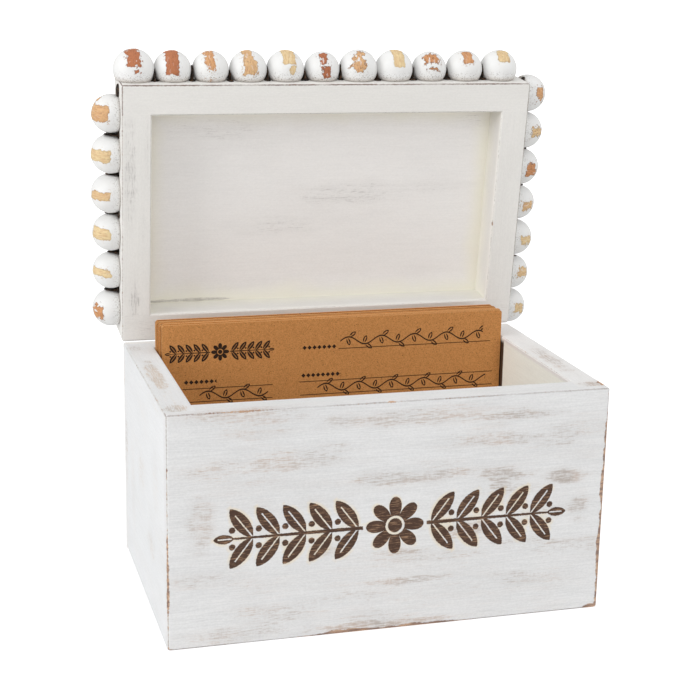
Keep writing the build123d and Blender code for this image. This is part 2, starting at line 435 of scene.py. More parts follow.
def paint_board(node, board, grain_turn, arrises=BOX_ARRISES, turn=(0, 0, 0), shift=(0, 0, 0),
                paint=PAINT_WHITE, inside_lit_paint=None, stain=STAIN_GREY, wear=0.2, worn=(), line=0.3,
                thin=0.3, inside_thin=0.1, blotches=(), strokes=0.6, cream=0.0, corner_cream=0.75,
                sprig=None, slot_shadow_from=None):
    """Paints one board: turn and shift take the object's place to the body's own, in mm, and each
    board, by its number, has its own piece of the grain."""
    material, bench, shader = finish(node + "_paint", Specular_IOR_Level=CHALK_SHEEN)
    place = place_in_mm(bench, turn, shift)
    x, y, z = apart(place)
    grain = bench.add("Mapping", {"Vector": place, "Location": GRAIN_STEP * board, "Rotation": grain_turn})
    arris = bench.use(arris_distance, {"Place": place, **arrises})
    inside = arris["Inside"]
    patches = fade(grain_noise(grain, (0.018, 0.06, 0.06)), 0.45, 0.72, 0.0, thin)
    patches = blotched(place, patches, blotches) * fade(inside, 0.0, 1.0, 1.0, inside_thin)
    into_corner = arris["Corner"] + grain_noise(place, 0.05) * CREAM_WANDER
    # Painted light: faces inside the opening may take their own white, lighter or darker than the board's
    # paint, for how light falls there.
    if inside_lit_paint:
        paint = mixed(inside, paint, inside_lit_paint)
    coat = bench.use(brushed_paint, {
        "Grain Place": grain, "Paint": paint, "Stain": stain, "Strokes": strokes, "Thin": patches,
        "Arris": least(arris["Arris"], arris["Inner Arris"] * INNER_ARRIS_SPARED), "Line": line,
        "Wear": blotched(place, wear, worn),
        "Cream": inside * fade(into_corner, CREAM_START, CREAM_FULL, cream, corner_cream),
    })
    color, height = coat["Color"], coat["Height"]
    # Painted shadow: inside the box, the right wall turns dark brown past this depth, for the shade in the
    # narrow slot between the cards and the wall.
    if slot_shadow_from:
        slot_shadow = inside * fade(y, slot_shadow_from - 0.5, slot_shadow_from + 0.5)
        color = mixed(slot_shadow, color, SLOT_SHADOW_BROWN)
    if sprig:
        middle_x, middle_z = sprig
        distance = bench.use(burnt_sprig, {"Place": together(x - middle_x, z - middle_z)})["Distance"]
        on_face = fade(y, FRONT_Y + 1.0, FRONT_Y + 0.5)
        rough_edge = distance + (grain_noise(place, 1.6) - 0.5) * 0.5
        burn = fade(rough_edge, 0.12, -0.12) * on_face
        halo = fade(distance, 1.6, 0.0) * on_face * fade(grain_noise(place, 0.12), 0.42, 0.6, 0.0, 0.5)
        speck = fade(grain_noise(grain, (0.25, 2.6, 2.6), 3.0, 0.7), 0.5, 0.72, 0.0, 0.6)
        color = mixed(halo, color, BURN_HALO)
        color = mixed(burn, color, mixed(speck, BURNT_BROWN, BARE_TAN))
        height = height - burn * 2.0
    normal = relief(height, 0.6, 0.12)
    bench.give(shader, {"Base Color": color, "Roughness": coat["Roughness"], "Normal": normal})
    dress(node, material)


WIDE = 30.0  # well over a board's thickness, so that a blotch doesn't fade through it
SPRIG_MIDDLE = (0.7, 43.5)
SLOT_SHADOW_FROM = 29.3  # past this depth the right wall inside is painted dark, a painted shadow in the slot beside the cards
# Painted light: the right wall's inside is a brighter, bluer white, against the shade and the warm light from
# the cards inside the box.
INSIDE_LIT_WHITE = srgb(241, 247, 246)
# Painted shade: the front board's white is darker than the same paint on the other boards, for the weaker
# light on the front.
FRONT_SHADED_WHITE = srgb(225, 225, 225)
LEFT_WHITE = srgb(228, 229, 230)
FRONT_BLOTCHES = [((x, FRONT_Y, z), (width, WIDE, height), strength) for x, z, width, height, strength in (
    (48, 85.4, 34, 3, 1.0), (14, 87, 66, 6.5, 0.74), (44, 76, 46, 5, 0.7), (-56, 86, 28, 6, 0.56),
    (-44, 73.5, 46, 8.5, 0.7), (6, 63, 48, 5.5, 0.78), (46, 61, 18, 5, 1.0), (44, 56.5, 8, 3.5, 1.3),
    (72, 58.5, 14, 5, 1.05), (78, 45, 7, 9, 0.8), (31, 38, 15, 6, 0.85), (-27, 36, 12, 6, 0.66),
    (8, 32, 24, 3, 0.8), (-76, 50, 9, 20, 0.7), (6, 19.6, 34, 3.6, 0.84), (-22, 15, 46, 5, 0.6),
    (56, 16, 36, 8, 0.64), (-46, 11, 34, 8, 0.66), (20, 29, 50, 4, 0.62), (-4, 2, 46, 4, 0.9),
    (8, 20, 100, 26, 0.42),
)]
LEFT_CORNER_WEAR = ((-89, FRONT_Y, 40), (5, 9, 50), 0.65)
RIGHT_CORNER_WEAR = ((89, FRONT_Y, 34), (5, 9, 62), 1.7)
FRONT_WEAR = [
    RIGHT_CORNER_WEAR, LEFT_CORNER_WEAR, ((-4, FRONT_Y, 0), (44, 9, 5), 1.15),
    ((-62, FRONT_Y, 94), (30, 9, 4), 0.4), ((-0.7, FRONT_Y, 94), (4, 6, 2), 1.3),
    ((87, FRONT_Y, 2), (6, 9, 6), 1.2),
]
LEFT_BLOTCHES = [
    ((-84, -2, 94), (4.2, 33, 4), 1.35), ((-84, -48, 94), (8, 8, 4), 1.15), ((-86, 44, 94), (6, 9, 4), 0.7),
    ((-89, -30, 60), (WIDE, 12, 26), 0.45), ((-89, 30, 40), (WIDE, 10, 30), 0.45),
    ((-89, 0, 80), (WIDE, 24, 8), 0.4), ((-89, 6, 52), (WIDE, 14, 12), 0.6),
    ((-89, -18, 30), (WIDE, 16, 9), 0.6), ((-89, 48, 50), (WIDE, 6, 26), 0.7),
]
LEFT_WEAR = [LEFT_CORNER_WEAR, ((-85, -48, 94), (5, 7, 3), 0.9)]
RIGHT_BLOTCHES = [((84, -50, 94), (8, 9, 4), 0.95), ((83, -8, 94), (6, 34, 4), 0.8)]
RIGHT_WEAR = [((77, 20, 94), (4, 16, 4), 0.5), ((87, -51, 94), (6, 8, 3), 2.0), RIGHT_CORNER_WEAR]
paint_board(
    "front_panel", 1, ALONG_X, paint=FRONT_SHADED_WHITE, stain=STAIN_BROWN, wear=0.14, worn=FRONT_WEAR, line=0.5,
    thin=0.7, blotches=FRONT_BLOTCHES, strokes=0.95, cream=0.4, sprig=SPRIG_MIDDLE,
)
paint_board("back_panel", 2, ALONG_X, stain=STAIN_BROWN, wear=0.45, thin=0.8, cream=0.4)
paint_board(
    "left_panel", 3, ALONG_Y, paint=LEFT_WHITE, stain=STAIN_TAN, worn=LEFT_WEAR, thin=0.5,
    blotches=LEFT_BLOTCHES, cream=0.4,
)
paint_board(
    "right_panel", 4, ALONG_Y, inside_lit_paint=INSIDE_LIT_WHITE, stain=STAIN_BROWN, wear=0.3, worn=RIGHT_WEAR,
    line=0.6, thin=0.6, blotches=RIGHT_BLOTCHES, cream=0.35, slot_shadow_from=SLOT_SHADOW_FROM,
)
paint_board("bottom_panel", 5, ALONG_X, wear=0.4)

# ---- Corner brads --------------------------------------
# Thin steel brads, three to a corner, hammered flush through the side boards and painted over, so
# that only a faint grey dot of rust shows at each head.

BRAD_RUST = srgb(150, 138, 130)
brad_cover, bench, shader = finish("brad_cover", Metallic=0.0)
bloom = fade(grain_noise(place_in_mm(bench), 1.5), 0.4, 0.7)
brad_color = mixed(bloom, PAINT_WHITE, BRAD_RUST)
bench.give(shader, {"Base Color": brad_color, "Roughness": fade(bloom, 0.0, 1.0, 0.6, 0.8)})
dress("corner_brads", brad_cover)

# ---- Lid -----------------------------------------------
# A shallow tray of four rails around one board, painted as the box is. It stands open, held by
# the stops of its two hinges, and the marks of the brush run along each rail.

LID_WIDTH, LID_DEPTH, LID_HEIGHT = 179.0, 111.8, 22.0
LID_RECESS_FLOOR = 8.0
RECESS_SHIFT = -0.4
HINGE_LINE = Vector((0, 55.5, 94.1))
OPEN_ANGLE = radians(83.3)
RIM_GAP = 0.1


def lid_place(x, y, n):
    """The place in metres of a point of the open lid: x along the hinge, y towards the box's back
    with 0 at the hinge, n away from the box when the lid is closed."""
    back = y * cos(OPEN_ANGLE) + n * sin(OPEN_ANGLE)
    up = n * cos(OPEN_ANGLE) - y * sin(OPEN_ANGLE)
    return MM * (HINGE_LINE + Vector((x, back, up)))


LID_TURN = OPEN_ANGLE + pi
LID_SHIFT = Vector((0, -LID_DEPTH / 2, LID_HEIGHT + RIM_GAP)) - Matrix.Rotation(LID_TURN, 3, "X") @ HINGE_LINE
LID_ARRISES = {
    **BOX_ARRISES, "Opening Shift": RECESS_SHIFT,
    "Half Width": LID_WIDTH / 2, "Half Depth": LID_DEPTH / 2, "Height": LID_HEIGHT, "Floor": LID_RECESS_FLOOR,
}
LID_WHITE = srgb(231, 229, 225)
# Painted light: the recess floor and the front rail's underside take a lighter white against their shade, and
# the other rails' inside faces a darker one where the side lamp lights them strongly.
LID_BOARD_LIT_WHITE = srgb(243, 241, 239)
RECESS_SIDE_SHADED_WHITE = srgb(221, 219, 215)
LID_BLOTCHES = [
    ((12, 4, 8), (40, 8, WIDE), 0.62), ((-18, -10, 8), (30, 7, WIDE), 0.6),
    ((-48, 34, 8), (34, 9, WIDE), 0.55), ((52, 6, 8), (30, 4, WIDE), 0.5),
    ((-40, -36, 8), (30, 5, WIDE), 0.4), ((-58, -43, 8), (24, 1, 4), 2.0), ((70, 38, 8), (14, 6, WIDE), 0.5),
]
LEFT_RAIL_BLOTCHES = [
    ((-86, 22, 22), (4, 40, WIDE), 0.72), ((-82, -50, 22), (9, 9, WIDE), 0.85),
    ((-84, -37, 22), (4, 15, WIDE), 0.85), ((-80, -10, 22), (3, 30, WIDE), 0.4),
]
RIGHT_RAIL_WEAR = [((77, -8, 22), (1.6, 2, 4), 1.1)]
BACK_RAIL_BLOTCHES = [((-20, -48, 22), (60, 3, WIDE), 0.6)]


def paint_lid(node, board, grain_turn, inside_lit_paint=RECESS_SIDE_SHADED_WHITE, corner_cream=0.35, **options):
    """Paints one node of the lid."""
    paint_board(node, board, grain_turn, LID_ARRISES, (LID_TURN, 0, 0), LID_SHIFT, LID_WHITE, inside_lit_paint,
                inside_thin=1.0, strokes=0.35, corner_cream=corner_cream, **options)


paint_lid("lid_board", 6, ALONG_X, LID_BOARD_LIT_WHITE, 0.65, thin=0.35, blotches=LID_BLOTCHES)
paint_lid("lid_front_rail", 7, ALONG_X, LID_BOARD_LIT_WHITE, wear=0.12, line=0.95, thin=0.35)
paint_lid("lid_back_rail", 8, ALONG_X, wear=0.15, thin=0.5, blotches=BACK_RAIL_BLOTCHES)
paint_lid("lid_left_rail", 9, ALONG_Y, wear=0.15, line=0.4, thin=0.5, blotches=LEFT_RAIL_BLOTCHES)
paint_lid("lid_right_rail", 10, ALONG_Y, wear=0.15, worn=RIGHT_RAIL_WEAR, line=0.7, thin=0.4)

# ---- Edge balls ----------------------------------------
# Turned wooden balls, each with a flat sanded on it and glued to the lid's edge in three rows.
# They were dipped white, and each was rubbed through to the wood in one or two ragged patches.

BALL_HEIGHT = 11.0
FRONT_PITCH, SIDE_PITCH_LEFT, SIDE_PITCH_RIGHT = 16.1, 17.1, 16.7
FRONT_STANDOFF, SIDE_STANDOFF = 4.3, 3.2
FRONT_ROW_START, LEFT_ROW_START, RIGHT_ROW_START = -83.1, -12.3, -5.0
SIDE_ROW_X = LID_WIDTH / 2 + SIDE_STANDOFF
TO_JOINT = (lid_place(0, 0, -1) - lid_place(0, 0, 0)).normalized()
OUT_FRONT = (lid_place(0, -1, 0) - lid_place(0, 0, 0)).normalized()
TO_RIGHT = Vector((1, 0, 0))

# Each ball: its diameter, then its patch from and to in degrees round from the joint side to the
# outer pole, from and to across that, its tone from 0 pale yellow to 1 red brown, its raggedness
# and its specks. Some balls have a second patch, given by its from and to both ways.
FRONT_BALLS = [
    (17.3, 17, 88, -24, 12, 0.9, 0.6, 0.3, (0, 8, -6, 14)),
    (15.8, -6, 104, -26, 13, 0.9, 0.35, 0.2),
    (15.5, 8, 92, -24, 4, 0.45, 0.6, 0.2, (-30, -24, -18, 4)),
    (16.0, 30, 100, -24, 4, 0.3, 0.5, 0.3, (-6, 38, -22, 20)),
    (16.1, 26, 98, -18, 22, 0.12, 0.35, 0.15, (-6, 20, 2, 20)),
    (15.1, 24, 74, -18, 7, 1.0, 0.6, 0.7, (-20, 20, -12, 14)),
    (16.7, 2, 68, -28, 8, 0.35, 0.9, 0.8),
    (16.4, 16, 98, -16, 20, 0.06, 0.15, 0.1),
    (15.1, 26, 68, -28, 18, 0.65, 0.7, 0.8, (6, 13, -22, 12)),
    (16.0, 27, 76, -19, 13, 0.5, 0.4, 0.3),
    (16.4, 31, 83, -18, 20, 0.1, 0.3, 0.3),
]
LEFT_BALLS = [
    (16.1, 36, 76, -28, 20, 0.6, 0.8, 0.7),
    (15.9, 6, 80, -7, 18, 0.08, 0.35, 0.2),
    (16.1, 8, 78, -11, 24, 0.06, 0.3, 0.2),
    (17.0, 8, 76, -9, 16, 0.22, 0.3, 0.2),
    (16.8, 7, 82, -14, 20, 0.1, 0.3, 0.2),
    (16.2, 13, 84, -16, 32, 0.35, 0.4, 0.3, (70, 92, 38, 50)),
]
RIGHT_BALLS = [
    (16.0, 6, 44, -14, 18, 0.12, 0.8, 0.3),
    (15.8, 4, 50, -4, 24, 0.2, 0.5, 0.2),
    (16.4, 4, 46, -13, 16, 0.1, 0.7, 0.3),
    (15.6, 0, 42, -16, 12, 0.28, 0.5, 0.2),
    (16.3, 0, 36, -18, 20, 0.68, 0.7, 0.8),
    (16.4, 4, 54, -10, 18, 0.2, 0.8, 0.6),
    (16.4, 10, 38, -18, 28, 0.4, 0.7, 0.8),
]
NO_PATCH = (0, -60, 0, -60)
front_centres = [
    lid_place(FRONT_ROW_START + FRONT_PITCH * i, -LID_DEPTH - FRONT_STANDOFF, BALL_HEIGHT) for i in range(11)
]
left_centres = [lid_place(-SIDE_ROW_X, LEFT_ROW_START - SIDE_PITCH_LEFT * i, BALL_HEIGHT) for i in range(6)]
right_centres = [lid_place(SIDE_ROW_X, RIGHT_ROW_START - SIDE_PITCH_RIGHT * i, BALL_HEIGHT) for i in range(7)]
# Each row: the way out of the lid's edge, the way in which a patch's second angles are counted, how
# far the centres stand off, the centres, and the balls.
BALL_ROWS = [
    (OUT_FRONT, TO_RIGHT, FRONT_STANDOFF, front_centres, FRONT_BALLS),
    (-TO_RIGHT, OUT_FRONT, SIDE_STANDOFF, left_centres, LEFT_BALLS),
    (TO_RIGHT, OUT_FRONT, SIDE_STANDOFF, right_centres, RIGHT_BALLS),
]


class Recipe(Bench):
    """A Geometry Nodes tree that makes one kind of piece from points and their attributes."""

    def __init__(self, name, **inputs):
        super().__init__(bpy.data.node_groups.new(name, "GeometryNodeTree"), "GeometryNode")
        for label, kind in {"Geometry": "Geometry", **inputs, "Material": "Material"}.items():
            self.tree.interface.new_socket(label, in_out="INPUT", socket_type="NodeSocket" + kind)
        self.tree.interface.new_socket("Geometry", in_out="OUTPUT", socket_type="NodeSocketGeometry")
        self.taken = self.flows(self.tree.nodes.new("NodeGroupInput"))

    def named(self, name, kind="FLOAT_VECTOR"):
        """The value of a stored attribute."""
        return self.add("InputNamedAttribute", {"Name": name}, data_type=kind)

    def store(self, geometry, name, value):
        """Stores a vector on each point of a geometry."""
        inputs = {"Geometry": geometry, "Name": name, "Value": value}
        return self.add("StoreNamedAttribute", inputs, data_type="FLOAT_VECTOR", domain="POINT")

    def set_out(self, shape, angles, scale=(1, 1, 1), points=None):
        """The shape on each point, turned by its angles and scaled."""
        turn = self.add("FunctionNodeEulerToRotation", {0: angles})
        points = points or self.taken["Geometry"]
        inputs = {"Points": points, "Instance": shape, "Rotation": turn, "Scale": scale}
        return self.add("InstanceOnPoints", inputs)

    def close(self, geometry):
        """Ends the tree: realised, with its material set."""
        real = self.add("RealizeInstances", {0: geometry})
        made = self.add("SetMaterial", {"Geometry": real, "Material": self.taken["Material"]})
        self.give(self.tree.nodes.new("NodeGroupOutput"), {0: made})


def make_piece(name, recipe, points, values, body, smooth=True):
    """Runs a tree on points in metres with their attributes, and leaves a plain mesh on the body."""
    base = bpy.data.meshes.new(name + "_points")
    base.from_pydata([place for place, attributes in points], [], [])
    for label, sample in points[0][1].items():
        kind, field = ("FLOAT", "value") if isinstance(sample, float) else ("FLOAT_VECTOR", "vector")
        layer = base.attributes.new(label, kind, "POINT")
        for entry, (place, attributes) in zip(layer.data, points):
            setattr(entry, field, attributes[label])
    maker = bpy.data.objects.new(name + "_maker", base)
    bpy.context.collection.objects.link(maker)
    modifier = maker.modifiers.new("recipe", "NODES")
    modifier.node_group = recipe.tree
    for socket in recipe.tree.interface.items_tree:
        if socket.in_out == "INPUT" and socket.name in values:
            modifier[socket.identifier] = values[socket.name]
    made = maker.evaluated_get(bpy.context.evaluated_depsgraph_get())
    mesh = bpy.data.meshes.new_from_object(made)
    maker.modifiers.remove(modifier)
    bpy.data.objects.remove(maker)
    mesh.name = name
    if smooth:
        mesh.shade_smooth()
    else:
        mesh.shade_flat()
    piece = bpy.data.objects.new(name, mesh)
    bpy.context.collection.objects.link(piece)
    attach(piece, body)
    return piece


def stored(bench, name, output="Vector"):
    """A value that a piece's mesh carries, for its material."""
    return bench.add("Attribute", output=output, attribute_name=name, attribute_type="GEOMETRY")


BALL_SEGMENTS, BALL_RINGS = 48, 24
PATCH_PALE = srgb(228, 206, 160)
PATCH_ORANGE = srgb(208, 154, 106)
PATCH_RED = srgb(176, 108, 74)
PATCH_DARK = srgb(92, 58, 42)
PATCH_LINE = srgb(136, 84, 60)
PATCH_ROUNDING = 1.6
BALL_STEP_X, BALL_STEP_Y = 37.0, 11.0
BALL_WHITE = srgb(231, 231, 230)
BALL_SHADE = srgb(227, 225, 222)
SEAT_SHADOW_GREY = srgb(190, 178, 166)
DIRT_GREY = srgb(128, 118, 110)

worn_ball, bench, shader = finish("worn_ball", Specular_IOR_Level=0.3)
spot = stored(bench, "ball_place")
patch_middle = stored(bench, "patch_middle")
side, joint, out = apart(spot)
round_mm = out.math("ARCTAN2", joint) * spot.length()
tone, ragged, specks = apart(stored(bench, "patch_look"))
number = apart(patch_middle)[2]
own = spot + together(number * BALL_STEP_X, number * BALL_STEP_Y)


def patch_edge(middle, half):
    """The distance in mm past the edge of a patch, with rounded corners, negative inside it."""
    middle_round, middle_side, spare = apart(middle)
    half_round, half_side, spare = apart(half)
    past_round = abs(round_mm - middle_round) - half_round
    past_across = abs(side - middle_side) - half_side
    return past_round.math("SMOOTH_MAX", past_across, PATCH_ROUNDING)


rag = (grain_noise(own, 0.42, 4.0, 0.62) - 0.5) * fade(ragged, 0.0, 1.0, 1.6, 7.5)
first_edge = patch_edge(patch_middle, stored(bench, "patch_half"))
second_edge = patch_edge(stored(bench, "second_middle"), stored(bench, "second_half"))
past = least(first_edge, second_edge) + rag
patch = fade(past, 0.12, -0.12)
flakes = fade(grain_noise(own, 0.9, 3.0, 0.6), 0.6, 0.64) * fade(past, 1.9, 0.4) * fade(ragged, 0.1, 0.6)
holdout = fade(grain_noise(own, (0.75, 0.3, 0.3), 3.0, 0.6), 0.6, 0.63) * fade(ragged, 0.2, 0.9)
patch = most(patch - holdout * patch, flakes)

grain = grain_noise(own, (1.7, 0.35, 0.35), 3.0, 0.6)
wood = mixed(fade(tone, 0.05, 0.55), PATCH_PALE, PATCH_ORANGE)
wood = mixed(fade(tone, 0.55, 1.0), wood, PATCH_RED)
wood = mixed(fade(grain, 0.35, 0.7, 0.0, 0.36), wood, PATCH_RED)
rings = fade(grain_noise(own, (2.6, 0.5, 0.9), 3.0, 0.6), 0.5, 0.68, 0.0, 0.6)
wood = mixed(rings * fade(tone, 0.0, 0.8, 0.3, 1.0), wood, PATCH_LINE)
dark = fade(grain_noise(own, (1.1, 0.8, 0.8), 3.0, 0.65), 0.56, 0.66) * specks * 0.85
wood = mixed(dark, wood, PATCH_DARK)
rim_line = fade(past, -0.5, -0.1) * fade(specks, 0.0, 0.8, 0.2, 0.65)
wood = mixed(rim_line, wood, PATCH_DARK)

dents = grain_noise(own, 0.25, 3.0)
white = mixed(fade(dents, 0.35, 0.7, 0.0, 0.35), BALL_WHITE, BALL_SHADE)
# Painted shade: the white greys towards the seat, where the ball meets the lid's edge.
white = mixed(fade(out, -1.6, -4.0) * 0.5, white, SEAT_SHADOW_GREY)
dirt = fade(grain_noise(own, (1.5, 2.2, 2.2), 3.0, 0.65), 0.56, 0.62, 0.0, 0.75) * fade(out, 1.5, -3.0)
white = mixed(dirt, white, DIRT_GREY)
height = dents * 1.2 - patch + grain_noise(own, 2.2) * 0.12
bench.give(shader, {
    "Base Color": mixed(patch, white, wood),
    "Roughness": fade(patch, 0.0, 1.0, 0.5, 0.68),
    "Normal": relief(height, 0.7, 0.18),
})

# Unit spheres are set out on the points, and what lies past the seat is pushed flat onto it.
balls = Recipe("edge_balls", Segments="Int", Rings="Int")
inputs = {"Segments": balls.taken["Segments"], "Rings": balls.taken["Rings"], "Radius": 1.0}
sphere = balls.store(balls.add("MeshUVSphere", inputs), "unit_place", balls.add("InputPosition"))
centres = balls.store(balls.taken["Geometry"], "centre", balls.add("InputPosition"))
radius = balls.named("radius_m", "FLOAT")
outward = balls.named("outward")
real = balls.add("RealizeInstances", {0: balls.set_out(sphere, balls.named("turn"), radius, centres)})
height = (balls.add("InputPosition") - balls.named("centre")).math("DOT_PRODUCT", outward, output="Value")
lift = most(balls.named("seat_m", "FLOAT") - height, 0.0)
real = balls.add("SetPosition", {"Geometry": real, "Offset": outward * lift})
balls.close(balls.store(real, "ball_place", balls.named("unit_place") * (radius * (1 / MM))))


def patch_box(low, high, near, far, arc, mirror):
    """The middle and half size in mm of a patch, from its limits in degrees."""
    middle = Vector(((low + high) / 2 * arc, mirror * (near + far) / 2 * arc, 0.0))
    return middle, Vector(((high - low) / 2 * arc, (far - near) / 2 * arc, 0.0))


ball_points = []
for outward, far_way, standoff, centres, looks in BALL_ROWS:
    side_way = TO_JOINT.cross(outward)
    turn = Vector(Matrix((side_way, TO_JOINT, outward)).transposed().to_euler("XYZ"))
    mirror = 1 if side_way.dot(far_way) > 0 else -1
    for centre, (diameter, low, high, near, far, tone, ragged, specks, *second) in zip(centres, looks):
        radius = diameter / 2
        arc = radians(1) * radius
        middle, half = patch_box(low, high, near, far, arc, mirror)
        middle.z = len(ball_points)  # the ball's own number, which gives it its own noise
        second_middle, second_half = patch_box(*(second[0] if second else NO_PATCH), arc, mirror)
        ball_points.append((centre, {
            "turn": turn, "radius_m": radius * MM, "outward": outward, "seat_m": -standoff * MM,
            "patch_middle": middle, "patch_half": half, "patch_look": Vector((tone, ragged, specks)),
            "second_middle": second_middle, "second_half": second_half,
        }))
ball_sizes = {"Segments": BALL_SEGMENTS, "Rings": BALL_RINGS, "Material": worn_ball}
edge_balls = make_piece("edge_balls", balls, ball_points, ball_sizes, "lid")
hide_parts("edge_beads")

# ---- Glue between the balls ----------------------------
# Dark brown wood glue, squeezed up in small uneven lumps where each ball meets its neighbour and
# the lid's edge.

GLUE_BROWN = srgb(26, 18, 13)
GLUE_TAN = srgb(92, 66, 46)
GLUE_SEED = 5
GLUE_UNEVENNESS = 0.8
GLUE_BUMPS_PER_METRE = 700.0
RIGHT_ROW_TALLS = (0.8, 1.2, 1.6, 3.4)
CORNER_LUMPS = ((-89.6, -107.6, 9.6), (89.6, -109.8, 9.0))
DASH_START, DASH_HEIGHT, DASH_GAPS = -7.2, 1.3, (1.5, 3.5, 4.5)
glue_finish, bench, shader = finish("wood_glue", Specular_IOR_Level=0.25)
blend = fade(grain_noise(place_in_mm(bench), 0.9), 0.45, 0.75)
glue_color = mixed(blend, GLUE_BROWN, GLUE_TAN)
bench.give(shader, {"Base Color": glue_color, "Roughness": fade(blend, 0.0, 1.0, 0.6, 0.75)})
rng = random.Random(GLUE_SEED)
lump_points = []


def add_lump(place, angles, wide, deep, tall):
    """A lump of glue of that half width, depth and height in mm, along the row, to the joint and outwards."""
    lump_points.append((place, {"turn": angles, "size": Vector((wide, deep, tall)) * MM}))


for outward, far_way, standoff, centres, looks in BALL_ROWS:
    row_way = (centres[1] - centres[0]).normalized()
    angles = Vector(Matrix((row_way, outward.cross(row_way), outward)).transposed().to_euler("XYZ"))
    for first, second in zip(centres, centres[1:]):
        foot = (first + second) / 2 - outward * standoff * MM
        tall = rng.choice(RIGHT_ROW_TALLS) if outward is TO_RIGHT else rng.uniform(4.0, 6.8)
        thin = rng.uniform(0.45, 0.75) if outward is OUT_FRONT else rng.uniform(0.25, 0.45)
        lower = TO_JOINT * rng.uniform(0.0, 1.5) * MM
        add_lump(foot + lower, angles, thin, rng.uniform(2.2, 4.0), tall)
        lower = TO_JOINT * rng.uniform(1.0, 3.5) * MM
        add_lump(foot + lower, angles, rng.uniform(1.2, 2.2), rng.uniform(1.5, 3.2), rng.uniform(0.5, 1.1))
for corner in CORNER_LUMPS:
    add_lump(lid_place(*corner), angles, rng.uniform(2.6, 3.2), rng.uniform(1.6, 2.4), rng.uniform(1.0, 1.3))
for gap in DASH_GAPS:
    dash = lid_place(LID_WIDTH / 2, DASH_START - SIDE_PITCH_RIGHT * gap, DASH_HEIGHT)
    add_lump(dash, angles, rng.uniform(0.3, 0.5), 0.7, 1.4)

lumps = Recipe("glue_lumps", Unevenness="Float")
ball = lumps.add("MeshIcoSphere", {"Radius": 1.0, "Subdivisions": 3})
real = lumps.add("RealizeInstances", {0: lumps.set_out(ball, lumps.named("turn"), lumps.named("size"))})
bumps = lumps.add("ShaderNodeTexNoise", {"Scale": GLUE_BUMPS_PER_METRE, "Detail": 2.0}, output="Color")
bumps = (bumps - (0.5, 0.5, 0.5)) * lumps.taken["Unevenness"]
lumps.close(lumps.add("SetPosition", {"Geometry": real, "Offset": bumps}))
glue_values = {"Unevenness": GLUE_UNEVENNESS * MM, "Material": glue_finish}
make_piece("ball_glue", lumps, lump_points, glue_values, "lid")

# ---- Cards ---------------------------------------------
# Three packs of stiff brown kraft cards, cut with round corners and standing on edge against the
# box's back, no two quite level. The front one is printed with rules, diamonds, vines and a sprig.

CARD_WIDTH, CARD_HEIGHT, CARD_THICKNESS, CARD_PITCH = 152.4, 101.6, 0.38, 0.5
CARD_CORNER = 1.2
CARD_COLUMNS, CORNER_STEPS = 16, 4
KRAFT = srgb(212, 150, 89)
KRAFT_DARK = srgb(176, 117, 64)
KRAFT_PALE = srgb(222, 168, 108)
# Painted shade and highlight on the cards' cut edges: dark for the shadow lines between cards, pale for lit
# edges.
EDGE_SHADOW_DARK = srgb(48, 26, 14)
EDGE_HIGHLIGHT_PALE = srgb(226, 172, 112)
INK = srgb(26, 17, 12)
FRONT_CARD_FACE = 32.7
SLIP_SEED, EDGE_LIGHT_SEED = 3, 8
SLIP_FROM, SLIP_TO = Vector((-0.3, 0.0, -1.1)), Vector((-0.1, 0.0, 0.0))
CARD_LEAN = 0.0015

# The print: each rule, row of diamonds and vine has its two ends along the card and its height.
RULE_HALF_THICKNESS = 0.18
RULE_PITCH = 6.2
CARD_RULES = [(1.4, 71.6, 92.3), (-16.0, 73.2, 78.2), (-67.3, -28.0, 77.8)]
for row in range(10):
    CARD_RULES += [(-15.7, 73.2, 72.2 - RULE_PITCH * row), (-67.3, -28.0, 72.0 - RULE_PITCH * row)]
DIAMOND_ROWS = [(-15.0, 0.4, 93.4), (-15.4, 2.6, 81.0), (-66.8, -52.6, 80.8)]
DIAMOND_PITCH, DIAMOND_REACH = 2.2, 1.0
VINES = [(2.0, 68.0, 95.6), (-8.0, 70.0, 75.2), (-60.0, -30.0, 74.8)]
VINE_ARCH, VINE_REACH, VINE_HALF_THICKNESS = 7.5, 1.7, 0.27
VINE_LEAF = (3.6, 0.9)
VINE_LEAVES = [(0.4, 1.7, radians(38)), (-0.6, 1.3, radians(-70))]
CARD_SPRIG_X, CARD_SPRIG_Z, CARD_SPRIG_SIZE = -51.0, 93.6, 0.33

# Half the card's outline: how far each step along it lies from the middle, and drops from the top.
round_middle = CARD_WIDTH / 2 - CARD_CORNER
column = 2 * round_middle / CARD_COLUMNS
left_end = []
for k in range(CORNER_STEPS + 1):
    turn = pi / 2 * k / CORNER_STEPS
    left_end.append((-round_middle - CARD_CORNER * cos(turn), CARD_CORNER * (1 - sin(turn))))
outline = left_end + [(column * k - round_middle, 0.0) for k in range(1, CARD_COLUMNS)]
outline += [(-x, drop) for x, drop in reversed(left_end)]
corners = []
for x, drop in outline:
    for y in (-CARD_THICKNESS / 2, CARD_THICKNESS / 2):
        for z in (drop - CARD_HEIGHT / 2, CARD_HEIGHT / 2 - drop):
            corners.append((x * MM, y * MM, z * MM))
faces = [(0, 1, 3, 2)]
last = 4 * (len(outline) - 1)
for a in range(0, last, 4):
    b = a + 4
    faces += [(a, b, b + 1, a + 1), (a + 2, a + 3, b + 3, b + 2)]
    faces += [(a + 1, b + 1, b + 3, a + 3), (a, a + 2, b + 2, b)]
faces.append((last, last + 2, last + 3, last + 1))
card_blank = bpy.data.meshes.new("card_blank")
card_blank.from_pydata(corners, [], faces)
card_shape = bpy.data.objects.new("card_blank", card_blank)


def between(x, low, high):
    """The distance in mm inside two ends along the card, negative past them."""
    return least(x - low, high - x)


